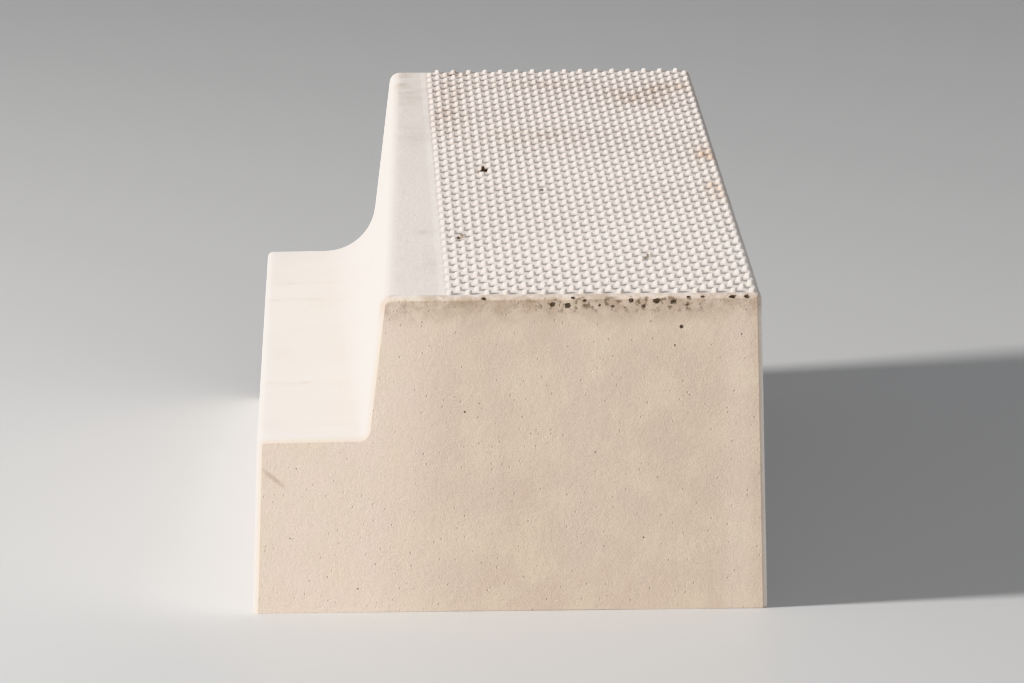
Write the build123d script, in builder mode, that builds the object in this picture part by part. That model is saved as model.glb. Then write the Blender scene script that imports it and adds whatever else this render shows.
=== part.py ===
"""Transition kerb stone for a bus stop, cast in one piece of concrete.

The stone lies as it is laid: +X from the road to the footway, +Y along the kerb from its
low end to its high end, +Z up. The origin is the middle of the bed. Sizes are millimetres.
"""

import os
from math import radians, tan

from build123d import *

# Overall size of the stone
length = 1000
base_width = 435
foot_height = 150

# Step from the foot up to the tread, at the two ends
low_step_height = 120
high_step_height = 180

# Upright sides lean in by these angles, so that the casting leaves its mould
road_side_draft = 2.0
back_draft = 1.2

# Foot that the tyre runs on, from its road edge to the corner under the face
low_foot_width = 90
high_foot_width = 102.5
foot_slope = 0.6

# Face that guides the tyre, and the hollow where it rises out of the foot
face_lean = 7
low_hollow_radius = 6
high_hollow_radius = 50
kerb_edge_radius = 10

# Field of the tread that the studs stand in, a shallow pocket open at both ends
field_width = 253
field_back_margin = 7
field_depth = 2.8
field_wall_draft = 14

# Small edges along the stone and round its ends
foot_edge_radius = 6
back_edge_radius = 5
end_chamfer = 4


def section(y, step_height, foot_width, hollow_radius, inset):
    """The stone's section at y, drawn smaller by inset on every side but the bed."""
    half_base = base_width / 2 - inset
    foot_top = foot_height - inset
    tread_height = foot_top + step_height
    foot_edge_x = -half_base + foot_top * tan(radians(road_side_draft))
    hollow_x = foot_edge_x + foot_width
    hollow_height = foot_top + foot_width * tan(radians(foot_slope))
    kerb_edge_x = hollow_x + (tread_height - hollow_height) * tan(radians(face_lean))
    back_edge_x = half_base - tread_height * tan(radians(back_draft))
    with BuildSketch(Plane.XZ.offset(-y)) as drawn:
        with BuildLine():
            FilletPolyline(
                (-half_base, 0),
                (half_base, 0),
                (back_edge_x, tread_height),
                (kerb_edge_x, tread_height),
                (hollow_x, hollow_height),
                (foot_edge_x, foot_top),
                radius=[
                    0,
                    0,
                    back_edge_radius - inset,
                    kerb_edge_radius - inset,
                    hollow_radius + inset,
                    foot_edge_radius - inset,
                ],
                close=True,
            )
        make_face()
    return drawn.sketch


# The field's section is square to the tread, and rises as far above the tread as it goes in
tread_rise = high_step_height - low_step_height
tread_height = foot_height + (low_step_height + high_step_height) / 2
narrowest_back = base_width / 2 - (foot_height + high_step_height) * tan(radians(back_draft))
field_x = narrowest_back - field_back_margin - field_width / 2
field_wall_run = field_depth * tan(radians(field_wall_draft))
across_tread = Plane(
    origin=(field_x, 0, tread_height),
    x_dir=(1, 0, 0),
    z_dir=(0, -length, -tread_rise),
)

# Straight lines join the sections: the tread falls and the hollow tightens to the low end
low_end = -length / 2
high_end = length / 2
low_section = (low_step_height, low_foot_width, low_hollow_radius)
high_section = (high_step_height, high_foot_width, high_hollow_radius)
with BuildPart() as kerb_stone:
    loft(
        [
            section(low_end, *low_section, end_chamfer),
            section(low_end + end_chamfer, *low_section, 0),
            section(high_end - end_chamfer, *high_section, 0),
            section(high_end, *high_section, end_chamfer),
        ],
        ruled=True,
    )
    with BuildSketch(across_tread) as field_section:
        with BuildLine():
            Polyline(
                (-field_width / 2 + field_wall_run, -field_depth),
                (field_width / 2 - field_wall_run, -field_depth),
                (field_width / 2 + field_wall_run, field_depth),
                (-field_width / 2 - field_wall_run, field_depth),
                close=True,
            )
        make_face()
    extrude(amount=length, both=True, mode=Mode.SUBTRACT)

kerb_stone.part.label = "kerb_stone"

os.makedirs("parts", exist_ok=True)
export_step(kerb_stone.part, "parts/kerb_stone.step")
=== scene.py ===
"""Looks of the transition kerb stone: pale cast concrete with a studded tread.

The mesh is drawn in millimetres in the part's own frame and scaled to metres when it is made.
+X runs from the road to the footway, +Y from the low end to the high end, +Z up.
The materials read the places of the finished object, so they measure in metres.
"""

from math import cos, pi, radians, sin, tan
from random import Random

import bmesh
import bpy
import numpy as np
from mathutils import Matrix, Quaternion, Vector, noise


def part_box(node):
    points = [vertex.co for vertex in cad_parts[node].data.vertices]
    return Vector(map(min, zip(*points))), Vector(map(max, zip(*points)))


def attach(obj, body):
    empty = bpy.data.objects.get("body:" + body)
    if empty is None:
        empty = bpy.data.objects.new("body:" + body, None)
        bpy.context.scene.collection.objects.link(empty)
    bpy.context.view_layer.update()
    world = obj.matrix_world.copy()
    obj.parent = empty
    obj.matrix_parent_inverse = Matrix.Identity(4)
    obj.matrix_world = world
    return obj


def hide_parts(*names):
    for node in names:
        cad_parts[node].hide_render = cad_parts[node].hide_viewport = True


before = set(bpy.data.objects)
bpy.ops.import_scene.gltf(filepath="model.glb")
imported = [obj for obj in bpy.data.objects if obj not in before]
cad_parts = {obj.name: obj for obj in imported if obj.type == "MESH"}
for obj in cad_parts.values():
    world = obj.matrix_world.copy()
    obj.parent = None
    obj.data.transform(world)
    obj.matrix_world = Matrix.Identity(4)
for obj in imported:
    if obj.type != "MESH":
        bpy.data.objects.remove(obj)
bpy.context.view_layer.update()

MILLIMETRE = 0.001

# Stone, with its overall sizes read from the CAD part
low_corner, high_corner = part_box("kerb_stone")
length = (high_corner.y - low_corner.y) / MILLIMETRE
base_width = (high_corner.x - low_corner.x) / MILLIMETRE
foot_height = 150
high_step_height = high_corner.z / MILLIMETRE - foot_height
low_step_height = 120
road_side_draft = 2.0
back_draft = 1.2
low_foot_width = 90
high_foot_width = 102.5
foot_slope = 0.6
face_lean = 7
low_hollow_radius = 6
high_hollow_radius = 50
kerb_edge_radius = 10
foot_edge_radius = 6
back_edge_radius = 5
end_chamfer = 4

# Studs stand in columns along the stone, and every second column is half a row out of step.
# They stand up from the tread, from beside the smooth strip to the back edge.
stud_columns = 33
stud_rows = 36
first_column_x = -49.2
column_pitch = 7.94
row_pitch = 13.85
stud_sides = 10
stud_height = 3.2
stud_base_radius = 3.1
stud_root_flare = 1.08
stud_root_radius = stud_base_radius * stud_root_flare
stud_shoulder_radius = 2.6
stud_top_radius = 1.7
stud_shoulder_height = 2.25
stud_sink = 1.0
stud_gap = 0.6
field_start = first_column_x - stud_base_radius - stud_gap

# No two studs are quite alike: their shifts, and their shares of the radii and of the height
stud_shift_across = 0.15
stud_shift_along = 0.2
stud_radius_share = (0.93, 1.03)
stud_height_share = (0.9, 1.0)

# Plain band between the studs and the smooth strip along the kerb edge
margin_width = 5.5
margin_end_width = 1

# Mesh steps along the stone and across its parts
stations = 120
arc_steps = 6
hollow_steps = 10
bed_steps = 12
back_steps = 14
field_steps = 16
margin_steps = 2
strip_steps = 8
face_steps = 16
foot_steps = 14
road_side_steps = 10

# Unevenness of the casting, always inwards
wave_depth = 0.35
wave_size = 70
wear_depth = 1.1
wear_size = 13
wear_noise = (0.8, 2.0, 3)
wear_start = 0.15

# Share of the wear that the edges take
edge_wear = 0.6
back_edge_wear = 0.8
chamfer_wear = 0.5
end_wear = 1.0

# Pits under the low end's arris
arris_pits = 10
arris_pits_start = 38
arris_pit_pitch = 12.5
arris_pit_shift = 0.2
arris_pit_size = (1.2, 2.4)
arris_pit_stretch = (1, 1.7)
arris_pit_depth = 0.8
arris_pit_drop = (1, 6)

# Chips on the low end's arris
arris_chips = 9
arris_chip_size = (1.1, 2.2)
arris_chip_stretch = 1.5
arris_chip_gap = 10
arris_chip_set_back = 1.5
arris_chip_rise = 1

# Small blowholes all over, and how far those on the ends stay from the edges
blowholes = 100
least_blowhole = 0.7
blowhole_spread = 1.2
blowhole_rise = (0.1, 0.5)
lowest_blowhole = 4
bed_gap = 8
tread_gap = 12
road_side_gap = 12
foot_gap = 8
hollow_gap = 20
back_gap = 14

# Broken studs: place and size of each break, its shape, and the height of its middle
broken_studs = [
    (-7, 14, 5.5),
    (-38, -273, 5.0),
    (43, -74, 3.4),
    (121, -358, 4.0),
    (-25, 479, 4.5),
    (-17, 493, 4.5),
]
break_shape = (1, 1.3, 0.9)
break_height = 0.4 * stud_height

# Unevenness of the blobs that cut pits and chips, their spacing, and which size has a finer mesh
blob_swell = 0.5
blob_waves = 1.8
blob_shift = 50
blob_spacing = 1.35
large_blob = 1.6

# Seeds of the random draws
stud_seed = 7
pit_seed = 21

# Stains on the tread and the foot: place, half width, half length and strength of each
stains = [
    (150, 352, 30, 45, 0.6),
    (184, 404, 22, 30, 0.55),
    (45, 170, 45, 30, 0.4),
    (-36, 255, 16, 90, 0.5),
    (-30, 400, 14, 80, 0.5),
    (-21, 487, 10, 14, 0.9),
    (60, 420, 60, 22, 0.3),
    (200, -86, 9, 40, 0.7),
    (200, 62, 9, 45, 0.7),
    (-74, 430, 16, 90, 0.5),
    (-7, 14, 6, 9, 0.9),
    (-38, -273, 6, 9, 0.9),
    (43, -74, 4, 6, 0.6),
    (121, -358, 5, 7, 0.7),
    (-70, 180, 14, 60, 0.2),
    (-66, -248, 6, 8, 0.7),
    (-64, -400, 10, 60, 0.2),
    (-180, 300, 60, 9, 0.3),
    (-180, 202, 60, 9, 0.35),
    (-180, -242, 60, 9, 0.35),
    (-180, -439, 60, 8, 0.25),
    (-160, 164, 6, 8, 0.5),
    (-170, -238, 6, 8, 0.5),
    (-192, -60, 16, 120, 0.15),
]

# Reach of the painted zones: below the stud tops, above and below the foot, and beside the field
tread_zone = 1.6 * stud_height
foot_zone = 2.5
field_slack = 0.1

# A vertex this close to an end lies on it, and the margin takes this share of the strip's colour
end_slack = 0.01
margin_share = 0.5

# Least part of a face's normal along an axis, for an end face and for a face that is shaded flat
end_normal = 0.9
flat_normal = 0.999

# Edges sharper than this are shaded as edges
sharp_angle = 32

# Colours of the concrete, of its dirt, and of the painted shade between the studs and in the pits
cast_light = (0.80, 0.75, 0.71, 1)
cast_dark = (0.735, 0.685, 0.645, 1)
strip_colour = (0.675, 0.62, 0.58, 1)
end_light = (0.80, 0.675, 0.575, 1)
end_dark = (0.65, 0.525, 0.425, 1)
end_yellow = (0.76, 0.665, 0.515, 1)
dirt_colour = (0.36, 0.26, 0.18, 1)
rust_colour = (0.55, 0.33, 0.18, 1)
crumb_colour = (0.20, 0.145, 0.10, 1)
# Grime between the studs, partly painted shade in the hollows
grime_and_shade_colour = (0.34, 0.245, 0.215, 1)
# Pits and chips are painted dark: partly dirt, partly painted shade in the holes
pit_dirt_shade_light = (0.28, 0.225, 0.18, 1)
pit_dirt_shade_dark = (0.14, 0.11, 0.085, 1)
speck_colour = (0.22, 0.19, 0.16, 1)

# How strongly the colours show, with two numbers where that changes from place to place
strip_strength = 0.85
foot_end_strength = (1.0, 0.15)
streak_strength = (-0.12, 0.12)
band_strength = 0.3
yellow_strength = 0.4
scratch_strength = 0.4
# The grime between the studs is partly painted shade
grime_and_shade_strength = (0.16, 0.33)
arris_dirt_strength = (0.12, 0.6)
crumb_strength = 0.8
speck_strength = 0.22

# Shade and roughness from grain to grain, roughness in the pits, and gloss of the cast skin
grain_shade = (0.9, 1.06)
cast_roughness = (0.82, 0.95)
pit_roughness = 0.95
cast_specular = 0.25

# Noises of the materials: repeats to a metre, detail and roughness
cloud_noise = (9, 5, 0.6)
streak_noise = (14, 4, 0.6)
yellow_noise = (24, 3, 0.55)
stain_noise = (38, 4, 0.65)
arris_dirt_noise = (70, 3, 0.6)
surface_noise = (160, 4, 0.6)
crumb_noise = (190, 2, 0.6)
pit_noise = (500, 4, 0.65)
grain_noise = (700, 4, 0.65)
streak_stretch = (1, 1, 0.25)

# Sand specks and pinholes: cells to a metre
speck_cells = 420
pinhole_cells = 170

# Places in metres between which the zones of the materials fade in or out
foot_end_x = (-0.13, -0.02)
band_start_x = (0.172, 0.188)
band_end_x = (0.198, 0.208)
rust_x = (0.185, 0.193)
grime_and_shade_y = (-0.4, 0.5)
arris_dirt_y = (-0.497, -0.492)
arris_dirt_z = (0.239, 0.266)
crumb_y = (-0.499, -0.497)
crumb_z = (0.253, 0.259)
crumb_start_x = (0.0, 0.045)
crumb_end_x = (0.15, 0.175)

# Faint scratch on the foot's low end: middle, slope, half width, and where its ends fade
scratch_x = -0.199
scratch_z = 0.116
scratch_slope = 0.8
scratch_half_width = 0.0042
scratch_ends = (0.004, 0.012)
scratch_y = (0, 0.1)

# Depths in metres of the relief that is too fine for the mesh
surface_depth = 0.0003
grain_depth = 0.0003
pinhole_depth = 0.0006
pit_grain_depth = 0.0005


def corner_arc(before, corner, after, radius, steps):
    """Points of the round at a corner of an outline."""
    before, corner, after = (Vector(point) for point in (before, corner, after))
    towards_before = (before - corner).normalized()
    towards_after = (after - corner).normalized()
    half_angle = towards_before.angle(towards_after) / 2
    reach = radius / tan(half_angle)
    middle = (towards_before + towards_after).normalized()
    centre = corner + middle * (radius / sin(half_angle))
    start = corner + towards_before * reach - centre
    turn = start.angle_signed(corner + towards_after * reach - centre)
    points = []
    for step in range(steps + 1):
        angle = -turn * step / steps
        x = start.x * cos(angle) - start.y * sin(angle)
        y = start.x * sin(angle) + start.y * cos(angle)
        points.append((centre.x + x, centre.y + y))
    return points


def straight(start, end, steps):
    """Points from start to end, without the two ends."""
    start, end = Vector(start), Vector(end)
    return [tuple(start.lerp(end, step / steps)) for step in range(1, steps)]


def section(step_height, foot_width, hollow_radius, inset):
    """The outline at one station as points, and how much each point wears."""
    half_base = base_width / 2 - inset
    foot_top = foot_height - inset
    tread = foot_top + step_height
    foot_edge = (-half_base + foot_top * tan(radians(road_side_draft)), foot_top)
    hollow = (foot_edge[0] + foot_width, foot_top + foot_width * tan(radians(foot_slope)))
    kerb_edge = (hollow[0] + (tread - hollow[1]) * tan(radians(face_lean)), tread)
    back_edge = (half_base - tread * tan(radians(back_draft)), tread)
    bed_road = (-half_base, 0)
    bed_back = (half_base, 0)
    back_arc = corner_arc(bed_back, back_edge, kerb_edge, back_edge_radius - inset, arc_steps)
    kerb_arc = corner_arc(back_edge, kerb_edge, hollow, kerb_edge_radius - inset, arc_steps)
    hollow_arc = corner_arc(kerb_edge, hollow, foot_edge, hollow_radius + inset, hollow_steps)
    foot_arc = corner_arc(hollow, foot_edge, bed_road, foot_edge_radius - inset, arc_steps)
    field = (field_start, tread)
    margin = (field_start - margin_width, tread)
    strip = (margin[0] - margin_end_width, tread)
    stretches = [
        ([bed_road], edge_wear),
        (straight(bed_road, bed_back, bed_steps), 0),
        ([bed_back], edge_wear),
        (straight(bed_back, back_arc[0], back_steps), 0),
        (back_arc, back_edge_wear),
        (straight(back_arc[-1], field, field_steps) + [field], 0),
        (straight(field, margin, margin_steps) + [margin, strip], 0),
        (straight(strip, kerb_arc[0], strip_steps), 0),
        (kerb_arc, edge_wear),
        (straight(kerb_arc[-1], hollow_arc[0], face_steps), 0),
        (hollow_arc, 0),
        (straight(hollow_arc[-1], foot_arc[0], foot_steps), 0),
        (foot_arc, edge_wear),
        (straight(foot_arc[-1], bed_road, road_side_steps), 0),
    ]
    points = [point for stretch, _ in stretches for point in stretch]
    wear = [share for stretch, share in stretches for _ in stretch]
    return np.array(points), np.array(wear)


def tread_height(y):
    """Height of the tread, which the studs stand on, at a place along the stone."""
    share = (y + length / 2) / length
    return foot_height + low_step_height + share * (high_step_height - low_step_height)


def make_mesh(name, points, faces):
    mesh = bpy.data.meshes.new(name)
    mesh.from_pydata([tuple(point) for point in points], [], faces)
    mesh.update()
    return mesh


def add_object(name, data):
    thing = bpy.data.objects.new(name, data)
    bpy.context.scene.collection.objects.link(thing)
    return thing


def casting_mesh():
    """The stone without its studs: one closed skin through all stations."""
    low_end, wear = section(low_step_height, low_foot_width, low_hollow_radius, end_chamfer)
    low, _ = section(low_step_height, low_foot_width, low_hollow_radius, 0)
    high, _ = section(high_step_height, high_foot_width, high_hollow_radius, 0)
    high_end, _ = section(high_step_height, high_foot_width, high_hollow_radius, end_chamfer)
    inner = length / 2 - end_chamfer
    rings = [
        (-length / 2, low_end, end_wear),
        (-inner - end_chamfer / 2, (low_end + low) / 2, chamfer_wear),
    ]
    for station in range(stations + 1):
        share = station / stations
        rings.append((-inner + 2 * inner * share, low + share * (high - low), 0))
    rings.append((inner + end_chamfer / 2, (high_end + high) / 2, chamfer_wear))
    rings.append((length / 2, high_end, end_wear))
    points = []
    wears = []
    for y, ring, ring_wear in rings:
        points += [(x, y, z) for x, z in ring]
        wears += [max(share, ring_wear) for share in wear]
    count = len(wear)
    faces = [list(range(count)), [len(points) - 1 - index for index in range(count)]]
    for ring in range(len(rings) - 1):
        here = ring * count
        beyond = here + count
        for index in range(count):
            following = (index + 1) % count
            faces.append([here + index, beyond + index, beyond + following, here + following])
    return make_mesh("kerb_stone", roughened(points, faces, wears), faces)


def roughened(points, faces, wears):
    """The same points moved inwards a little by slow waves and, along the edges, by wear."""
    draft = make_mesh("draft", points, faces)
    normals = [vertex.normal.copy() for vertex in draft.vertices]
    bpy.data.meshes.remove(draft)
    moved = []
    for point, normal, wear in zip(points, normals, wears):
        place = Vector(point)
        if abs(place.y) == length / 2:
            normal.y = 0
        wave = 0.5 + 0.5 * noise.noise(place / wave_size)
        dent = max(0, noise.fractal(place / wear_size, *wear_noise) - wear_start)
        moved.append(place - normal * (wave_depth * wave + wear * wear_depth * dent))
    return moved


def stud_mesh(rng):
    """All studs as closed cones with rounded shoulders, rooted in the tread."""
    first_row = -row_pitch * (2 * stud_rows - 1) / 2
    points = []
    faces = []
    for column in range(stud_columns):
        for row in range(stud_rows):
            x = first_column_x + column * column_pitch
            x += rng.uniform(-stud_shift_across, stud_shift_across)
            y = first_row + (2 * row + column % 2) * row_pitch
            y += rng.uniform(-stud_shift_along, stud_shift_along)
            size = rng.uniform(*stud_radius_share)
            top = stud_height * rng.uniform(*stud_height_share)
            rings = [
                (stud_root_radius, -stud_sink),
                (stud_shoulder_radius * size, stud_shoulder_height),
                (stud_top_radius * size, top),
            ]
            add_stud(points, faces, x, y, rings, turn=rng.uniform(0, pi))
    return make_mesh("studs", points, faces)


def add_stud(points, faces, x, y, rings, turn):
    """Adds one stud that leans with the tread, through rings of a radius and a height each."""
    slope = (high_step_height - low_step_height) / length
    base = tread_height(y)
    start = len(points)
    for radius, height in rings:
        for side in range(stud_sides):
            angle = turn + 2 * pi * side / stud_sides
            along = radius * sin(angle)
            points.append((x + radius * cos(angle), y + along, base + height + slope * along))
    last = start + (len(rings) - 1) * stud_sides
    faces.append([start + side for side in reversed(range(stud_sides))])
    faces.append([last + side for side in range(stud_sides)])
    for here in range(start, last, stud_sides):
        above = here + stud_sides
        for side in range(stud_sides):
            following = (side + 1) % stud_sides
            faces.append([here + side, here + following, above + following, above + side])


def combine(target, mesh, operation):
    """Unites the target with a closed mesh, or cuts the mesh out of it."""
    tool = add_object("tool", mesh)
    modifier = target.modifiers.new("combine", "BOOLEAN")
    modifier.operation = operation
    modifier.solver = "MANIFOLD"
    modifier.object = tool
    graph = bpy.context.evaluated_depsgraph_get()
    result = bpy.data.meshes.new_from_object(target.evaluated_get(graph), depsgraph=graph)
    target.modifiers.clear()
    target.data = result
    bpy.data.objects.remove(tool)


def blob(mesh, place, radii, rng):
    """Adds one uneven closed blob to a bmesh, as a tool that cuts a pit or a chip."""
    subdivisions = 2 if max(radii) > large_blob else 1
    made = bmesh.ops.create_icosphere(mesh, subdivisions=subdivisions, radius=1)["verts"]
    shift = Vector([rng.uniform(0, blob_shift) for _ in range(3)])
    for vertex in made:
        swell = 1 + blob_swell * noise.noise(vertex.co * blob_waves + shift)
        vertex.co = place + Vector(part * radius * swell for part, radius in zip(vertex.co, radii))


def break_blobs():
    """Places and radii of the breaks in the studs."""
    blobs = []
    for x, y, size in broken_studs:
        place = Vector((x, y, tread_height(y) + break_height))
        blobs.append((place, [size * share for share in break_shape]))
    return blobs


def arris_blobs(rng):
    """Places and radii of the pits under the low end's arris and of the chips on it."""
    low_arris = foot_height + low_step_height - end_chamfer
    blobs = []
    for step in range(arris_pits):
        shift = rng.uniform(-arris_pit_shift, arris_pit_shift)
        x = arris_pits_start + (step + shift) * arris_pit_pitch
        size = rng.uniform(*arris_pit_size)
        place = Vector((x, -length / 2, low_arris - rng.uniform(*arris_pit_drop)))
        blobs.append((place, (size * rng.uniform(*arris_pit_stretch), size * arris_pit_depth, size)))
    for _ in range(arris_chips):
        x = rng.uniform(field_start, base_width / 2 - arris_chip_gap)
        size = rng.uniform(*arris_chip_size)
        place = Vector((x, -length / 2 + arris_chip_set_back, low_arris + arris_chip_rise))
        blobs.append((place, (size * arris_chip_stretch, size, size)))
    return blobs


def blowhole_blobs(casting, rng):
    """Places and radii of the blowholes, anywhere but on the bed and between the studs."""
    walls = []
    for face in casting.polygons:
        if face.center.z > lowest_blowhole and not in_field(face.center):
            walls.append(face)
    blobs = []
    for face in rng.choices(walls, weights=[face.area for face in walls], k=blowholes):
        size = least_blowhole + blowhole_spread * rng.random() ** 3
        spot = face.center
        if abs(face.normal.y) > end_normal:
            spot = spot_on_end(face, rng)
        blobs.append((spot + face.normal * size * rng.uniform(*blowhole_rise), (size, size, size)))
    return blobs


def pit_tools(casting, rng):
    """Pits and chips to cut, as a mesh of blobs that don't meet."""
    kept = []
    tools = bmesh.new()
    for place, radii in break_blobs() + arris_blobs(rng) + blowhole_blobs(casting, rng):
        reach = max(radii)
        if all((place - other).length > blob_spacing * (reach + far) for other, far in kept):
            kept.append((place, reach))
            blob(tools, place, radii, rng)
    mesh = bpy.data.meshes.new("pits")
    tools.to_mesh(mesh)
    tools.free()
    return mesh


def in_field(point):
    """True for a point of the tread where the studs stand."""
    return field_start < point.x and point.z > tread_height(point.y) - stud_height


def spot_on_end(face, rng):
    """A place on an end face of the stone."""
    z = rng.uniform(bed_gap, foot_height + low_step_height - tread_gap)
    left = -base_width / 2 + road_side_gap
    if z > foot_height - foot_gap:
        left += high_foot_width + hollow_gap
    return Vector((rng.uniform(left, base_width / 2 - back_gap), face.center.y, z))


def paint(mesh, name, values):
    """Keeps one number for each vertex, for the material to read."""
    attribute = mesh.attributes.new(name, "FLOAT", "POINT")
    attribute.data.foreach_set("value", np.clip(values, 0, 1).astype(np.float32))


def paint_zones(mesh):
    """Marks the hollows between the studs for grime and painted shade, the end faces, the smooth strip and
    the stains.
    """
    count = len(mesh.vertices)
    place = np.zeros(count * 3)
    mesh.vertices.foreach_get("co", place)
    x, y, z = place.reshape(-1, 3).T
    depth = tread_height(y) + stud_height - z
    inside = np.abs(y) < length / 2 - end_slack
    tread = depth < tread_zone
    field = x > field_start - field_slack
    # Darker low down between the studs: partly grime, partly painted shade
    paint(mesh, "grime_and_shade", np.where(inside & tread & field, depth / stud_height, 0))
    paint(mesh, "end_face", 1 - (length / 2 - np.abs(y)) / end_chamfer)
    smooth = np.where(x < field_start - margin_width - margin_end_width / 2, 1, margin_share)
    paint(mesh, "strip", np.where(tread & ~field, smooth, 0))
    dirt = np.zeros(count)
    for stain_x, stain_y, wide, long, strength in stains:
        dirt += strength * np.exp(-((x - stain_x) / wide) ** 2 - ((y - stain_y) / long) ** 2)
    shown = tread | (np.abs(z - foot_height) < foot_zone)
    paint(mesh, "stain", np.where(inside & shown, dirt, 0))


def make_stone():
    """The whole stone: casting, studs and pits in one skin, in metres."""
    casting = casting_mesh()
    studs = stud_mesh(Random(stud_seed))
    pits = pit_tools(casting, Random(pit_seed))
    # The pits and chips take the dark material, which is partly painted shade
    pits.polygons.foreach_set("material_index", [1] * len(pits.polygons))
    materials = [concrete(), dirty_shaded_pit_concrete()]
    for mesh in (casting, studs, pits):
        for material in materials:
            mesh.materials.append(material)
    stone = add_object("kerb_stone_surface", casting)
    combine(stone, studs, "UNION")
    combine(stone, pits, "DIFFERENCE")
    paint_zones(stone.data)
    stone.data.transform(Matrix.Scale(MILLIMETRE, 4))
    stone.data.set_sharp_from_angle(angle=radians(sharp_angle))
    for face in stone.data.polygons:
        face.use_smooth = abs(face.normal.y) < flat_normal and face.normal.z > -flat_normal
    return stone


class Nodes:
    """Adds nodes to a material, one call each."""

    def __init__(self, material):
        material.use_nodes = True
        self.tree = material.node_tree
        self.shader = self.tree.nodes["Principled BSDF"]
        self.place = self.tree.nodes.new("ShaderNodeTexCoord").outputs["Object"]
        self.x, self.y, self.z = self.add("ShaderNodeSeparateXYZ", {"Vector": self.place}).outputs

    def add(self, kind, inputs, **settings):
        node = self.tree.nodes.new(kind)
        for name, value in settings.items():
            setattr(node, name, value)
        for name, value in inputs.items():
            self.join(value, node.inputs[name])
        return node

    def join(self, value, socket):
        if isinstance(value, bpy.types.NodeSocket):
            self.tree.links.new(value, socket)
        else:
            socket.default_value = value

    def noise(self, scale, detail, roughness, stretch=None):
        place = self.place
        if stretch:
            place = self.add("ShaderNodeMapping", {"Vector": place, "Scale": stretch}).outputs[0]
        settings = {"Vector": place, "Scale": scale, "Detail": detail, "Roughness": roughness}
        return self.add("ShaderNodeTexNoise", settings).outputs["Fac"]

    def cells(self, scale, channel):
        """Distance to the middle of the nearest cell, and a random number of that cell."""
        settings = {"Vector": self.place, "Scale": scale, "Randomness": 1}
        cells = self.add("ShaderNodeTexVoronoi", settings).outputs
        numbers = self.add("ShaderNodeSeparateColor", {"Color": cells["Color"]}).outputs
        return cells["Distance"], numbers[channel]

    def ramp(self, value, low, high, to_low=0, to_high=1):
        settings = {"Value": value, "From Min": low, "From Max": high, "To Min": to_low, "To Max": to_high}
        return self.add("ShaderNodeMapRange", settings, interpolation_type="SMOOTHSTEP").outputs[0]

    def math(self, operation, first, second):
        return self.add("ShaderNodeMath", {0: first, 1: second}, operation=operation).outputs[0]

    def product(self, first, *others):
        for other in others:
            first = self.math("MULTIPLY", first, other)
        return first

    def distance(self, value, middle):
        return self.math("ABSOLUTE", self.math("SUBTRACT", value, middle), 0)

    def attribute(self, name):
        return self.add("ShaderNodeAttribute", {}, attribute_name=name).outputs["Fac"]

    def mix(self, factor, first, second, blend="MIX"):
        node = self.add("ShaderNodeMix", {}, data_type="RGBA", blend_type=blend)
        self.join(factor, node.inputs[0])
        self.join(first, node.inputs[6])
        self.join(second, node.inputs[7])
        return node.outputs[2]

    def bump(self, height, depth, before=None):
        inputs = {"Height": height, "Distance": depth}
        if before:
            inputs["Normal"] = before
        return self.add("ShaderNodeBump", inputs).outputs[0]


def dirty_shaded_pit_concrete():
    """Dark concrete inside pits and chips: partly dirt, partly painted shade."""
    material = bpy.data.materials.new("dirty_shaded_pit_concrete")
    nodes = Nodes(material)
    grain = nodes.noise(*pit_noise)
    colour = nodes.mix(nodes.ramp(grain, 0.3, 0.7), pit_dirt_shade_dark, pit_dirt_shade_light)
    nodes.join(colour, nodes.shader.inputs["Base Color"])
    nodes.shader.inputs["Roughness"].default_value = pit_roughness
    nodes.join(nodes.bump(grain, pit_grain_depth), nodes.shader.inputs["Normal"])
    return material


def concrete():
    """Pale cast concrete with fine sand grain, soft clouds, pinholes, dirt, and painted shade between the
    studs.
    """
    material = bpy.data.materials.new("cast_concrete")
    nodes = Nodes(material)
    grain = nodes.noise(*grain_noise)
    colour = nodes.mix(nodes.ramp(nodes.noise(*cloud_noise), 0.3, 0.7), cast_dark, cast_light)
    colour = nodes.mix(nodes.product(nodes.attribute("strip"), strip_strength), colour, strip_colour)
    colour = nodes.mix(nodes.attribute("end_face"), colour, end_face_colour(nodes))
    colour = with_stains(nodes, colour)
    colour = with_grime_and_shade(nodes, colour)
    colour = with_arris_dirt(nodes, colour)
    colour = with_crumbs(nodes, colour)
    colour = with_specks(nodes, colour)
    shade = nodes.ramp(grain, 0.25, 0.75, *grain_shade)
    grey = nodes.add("ShaderNodeCombineColor", {0: shade, 1: shade, 2: shade}).outputs[0]
    colour = nodes.mix(1.0, colour, grey, "MULTIPLY")
    nodes.join(colour, nodes.shader.inputs["Base Color"])
    nodes.shader.inputs["Specular IOR Level"].default_value = cast_specular
    nodes.join(nodes.ramp(grain, 0.3, 0.7, *cast_roughness), nodes.shader.inputs["Roughness"])
    nodes.join(fine_relief(nodes, grain), nodes.shader.inputs["Normal"])
    return material


def end_face_colour(nodes):
    """Browner ends, lighter at the foot and in a band beside the back, with yellow clouds."""
    streaks = nodes.ramp(nodes.noise(*streak_noise, streak_stretch), 0.3, 0.75, *streak_strength)
    towards_road = nodes.ramp(nodes.x, *foot_end_x, *foot_end_strength)
    colour = nodes.mix(nodes.math("ADD", streaks, towards_road), end_dark, end_light)
    band = nodes.product(
        nodes.ramp(nodes.x, *band_start_x),
        nodes.ramp(nodes.x, *band_end_x, 1, 0),
        band_strength,
    )
    colour = nodes.mix(band, colour, end_light)
    yellow = nodes.ramp(nodes.noise(*yellow_noise), 0.4, 0.65, 0, yellow_strength)
    colour = nodes.mix(yellow, colour, end_yellow)
    return nodes.mix(scratch(nodes), colour, dirt_colour)


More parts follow.
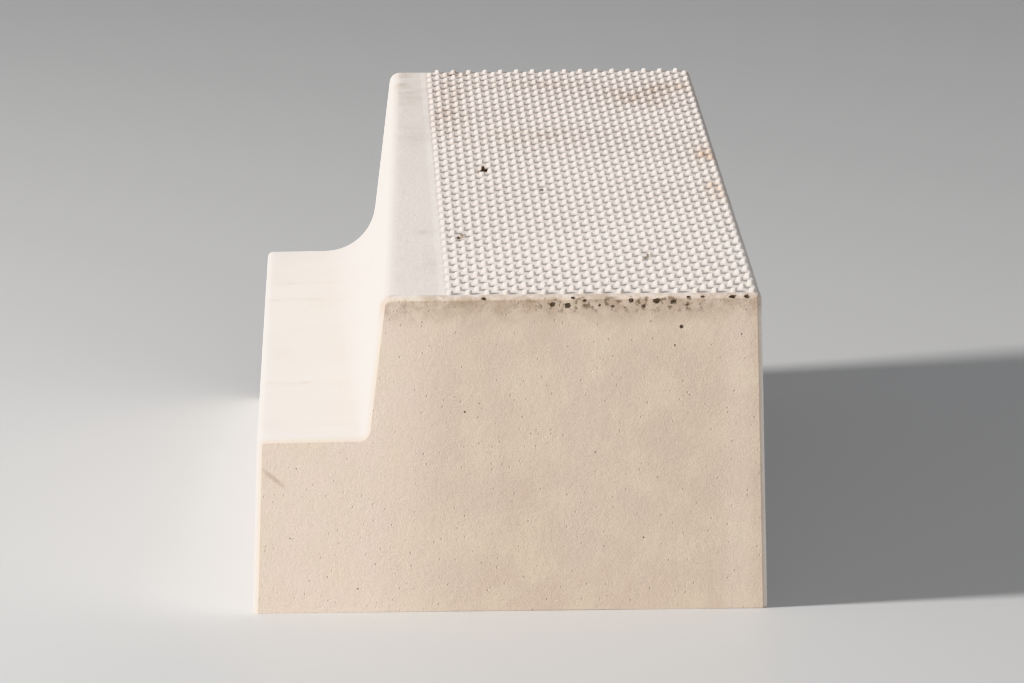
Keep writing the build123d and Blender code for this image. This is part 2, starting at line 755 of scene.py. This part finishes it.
def scratch(nodes):
    """A faint slanting scratch on the foot's low end."""
    line = nodes.math("ADD", nodes.z, nodes.math("MULTIPLY", nodes.x, scratch_slope))
    across = nodes.distance(line, scratch_z + scratch_slope * scratch_x)
    along = nodes.distance(nodes.x, scratch_x)
    return nodes.product(
        nodes.ramp(across, 0, scratch_half_width, 1, 0),
        nodes.ramp(along, *scratch_ends, scratch_strength, 0),
        nodes.ramp(nodes.y, *scratch_y, 1, 0),
    )


def with_stains(nodes, colour):
    """Patchy brown stains, rust-coloured along the back edge."""
    patches = nodes.ramp(nodes.noise(*stain_noise), 0.3, 0.68)
    stain_colour = nodes.mix(nodes.ramp(nodes.x, *rust_x), dirt_colour, rust_colour)
    return nodes.mix(nodes.product(nodes.attribute("stain"), patches), colour, stain_colour)


def with_grime_and_shade(nodes, colour):
    """Grime and painted shade low down between the studs, stronger towards the high end."""
    more = nodes.ramp(nodes.y, *grime_and_shade_y, *grime_and_shade_strength)
    grime_and_shade = nodes.product(nodes.ramp(nodes.attribute("grime_and_shade"), 0.25, 1), more)
    return nodes.mix(grime_and_shade, colour, grime_and_shade_colour)


def with_arris_dirt(nodes, colour):
    """Dirt that fades down from the low end's arris."""
    dirt = nodes.product(
        nodes.ramp(nodes.y, *arris_dirt_y, 1, 0),
        nodes.ramp(nodes.z, *arris_dirt_z),
        nodes.ramp(nodes.noise(*arris_dirt_noise), 0.35, 0.65, *arris_dirt_strength),
    )
    return nodes.mix(dirt, colour, dirt_colour)


def with_crumbs(nodes, colour):
    """Dark crumbs of dirt close under the low end's arris, most of them in its middle."""
    crumbs = nodes.product(
        nodes.ramp(nodes.noise(*crumb_noise), 0.52, 0.62, 0, crumb_strength),
        nodes.ramp(nodes.y, *crumb_y, 1, 0),
        nodes.ramp(nodes.z, *crumb_z),
        nodes.ramp(nodes.x, *crumb_start_x, 0.25, 1),
        nodes.ramp(nodes.x, *crumb_end_x, 1, 0.2),
    )
    return nodes.mix(crumbs, colour, crumb_colour)


def with_specks(nodes, colour):
    """Dark sand grains in some of the cells."""
    distance, number = nodes.cells(speck_cells, 0)
    specks = nodes.product(
        nodes.ramp(distance, 0.16, 0.3, 1, 0),
        nodes.ramp(number, 0.8, 0.9),
        speck_strength,
    )
    return nodes.mix(specks, colour, speck_colour)


def fine_relief(nodes, grain):
    """Soft unevenness, sand grain and pinholes, as the direction of the surface."""
    distance, number = nodes.cells(pinhole_cells, 1)
    pinholes = nodes.product(nodes.ramp(distance, 0.06, 0.16, 1, 0), nodes.ramp(number, 0.75, 0.85))
    normal = nodes.bump(nodes.noise(*surface_noise), surface_depth)
    normal = nodes.bump(grain, grain_depth, normal)
    return nodes.bump(nodes.math("SUBTRACT", 1, pinholes), pinhole_depth, normal)


def add_lamp(name, target, way, distance, size, energy):
    """A round area lamp that stands off from the target in one direction and faces it."""
    lamp = add_object(name, bpy.data.lights.new(name, "AREA"))
    way = Vector(way).normalized()
    lamp.location = target + way * distance
    lamp.rotation_mode = "QUATERNION"
    lamp.rotation_quaternion = (-way).to_track_quat("-Z", "Y")
    lamp.data.shape = "DISK"
    lamp.data.size = size
    lamp.data.energy = energy
    return lamp


stone = make_stone()

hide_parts("kerb_stone")
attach(stone, "root")

# Plain pale floor
floor_reach = 8
floor_corners = [Vector((x, y, 0)) * floor_reach for x, y in [(-1, -1), (1, -1), (1, 1), (-1, 1)]]
floor_colour = (0.54, 0.535, 0.53, 1)
floor = add_object("floor", make_mesh("floor", floor_corners, [(0, 1, 2, 3)]))
floor_material = bpy.data.materials.new("floor")
floor_material.use_nodes = True
floor_material.node_tree.nodes["Principled BSDF"].inputs["Base Color"].default_value = floor_colour
floor.data.materials.append(floor_material)

# Camera of the photograph, turned to the stone and with a longer lens
camera_place = Vector((-0.146, -5.4346, 1.0951))
camera_yaw = radians(1.72)
camera_pitch = radians(9.93)
camera_roll = radians(0.247)
photo_lens = 75.11
lens_gain = 2.8
sensor_width = 36
camera = add_object("camera", bpy.data.cameras.new("camera"))
forward = Vector((
    sin(camera_yaw) * cos(camera_pitch),
    cos(camera_yaw) * cos(camera_pitch),
    -sin(camera_pitch),
))
camera.rotation_mode = "QUATERNION"
camera.rotation_quaternion = forward.to_track_quat("-Z", "Y") @ Quaternion((0, 0, 1), -camera_roll)
camera.location = camera_place
camera.data.sensor_width = sensor_width
camera.data.lens = photo_lens * lens_gain
bpy.context.scene.camera = camera

# Lights: a large soft lamp low on the road side, a wide weak one at the low end, and a pale world
stone_middle = Vector((0, 0, 0.15))
sun_way = (-2.36, -0.6, 1.0)
sun_colour = (1.0, 0.985, 0.965)
fill_way = (0.35, -1.0, 0.55)
world_colour = (0.95, 0.97, 1.0, 1)
world_strength = 0.35
key = add_lamp("key", stone_middle, sun_way, distance=7, size=1.1, energy=975)
key.data.color = sun_colour
add_lamp("fill", stone_middle, fill_way, distance=5, size=3.0, energy=50)
world = bpy.data.worlds.new("world")
bpy.context.scene.world = world
world.use_nodes = True
background = world.node_tree.nodes["Background"]
background.inputs["Color"].default_value = world_colour
background.inputs["Strength"].default_value = world_strength
bpy.context.scene.view_settings.view_transform = "Khronos PBR Neutral"
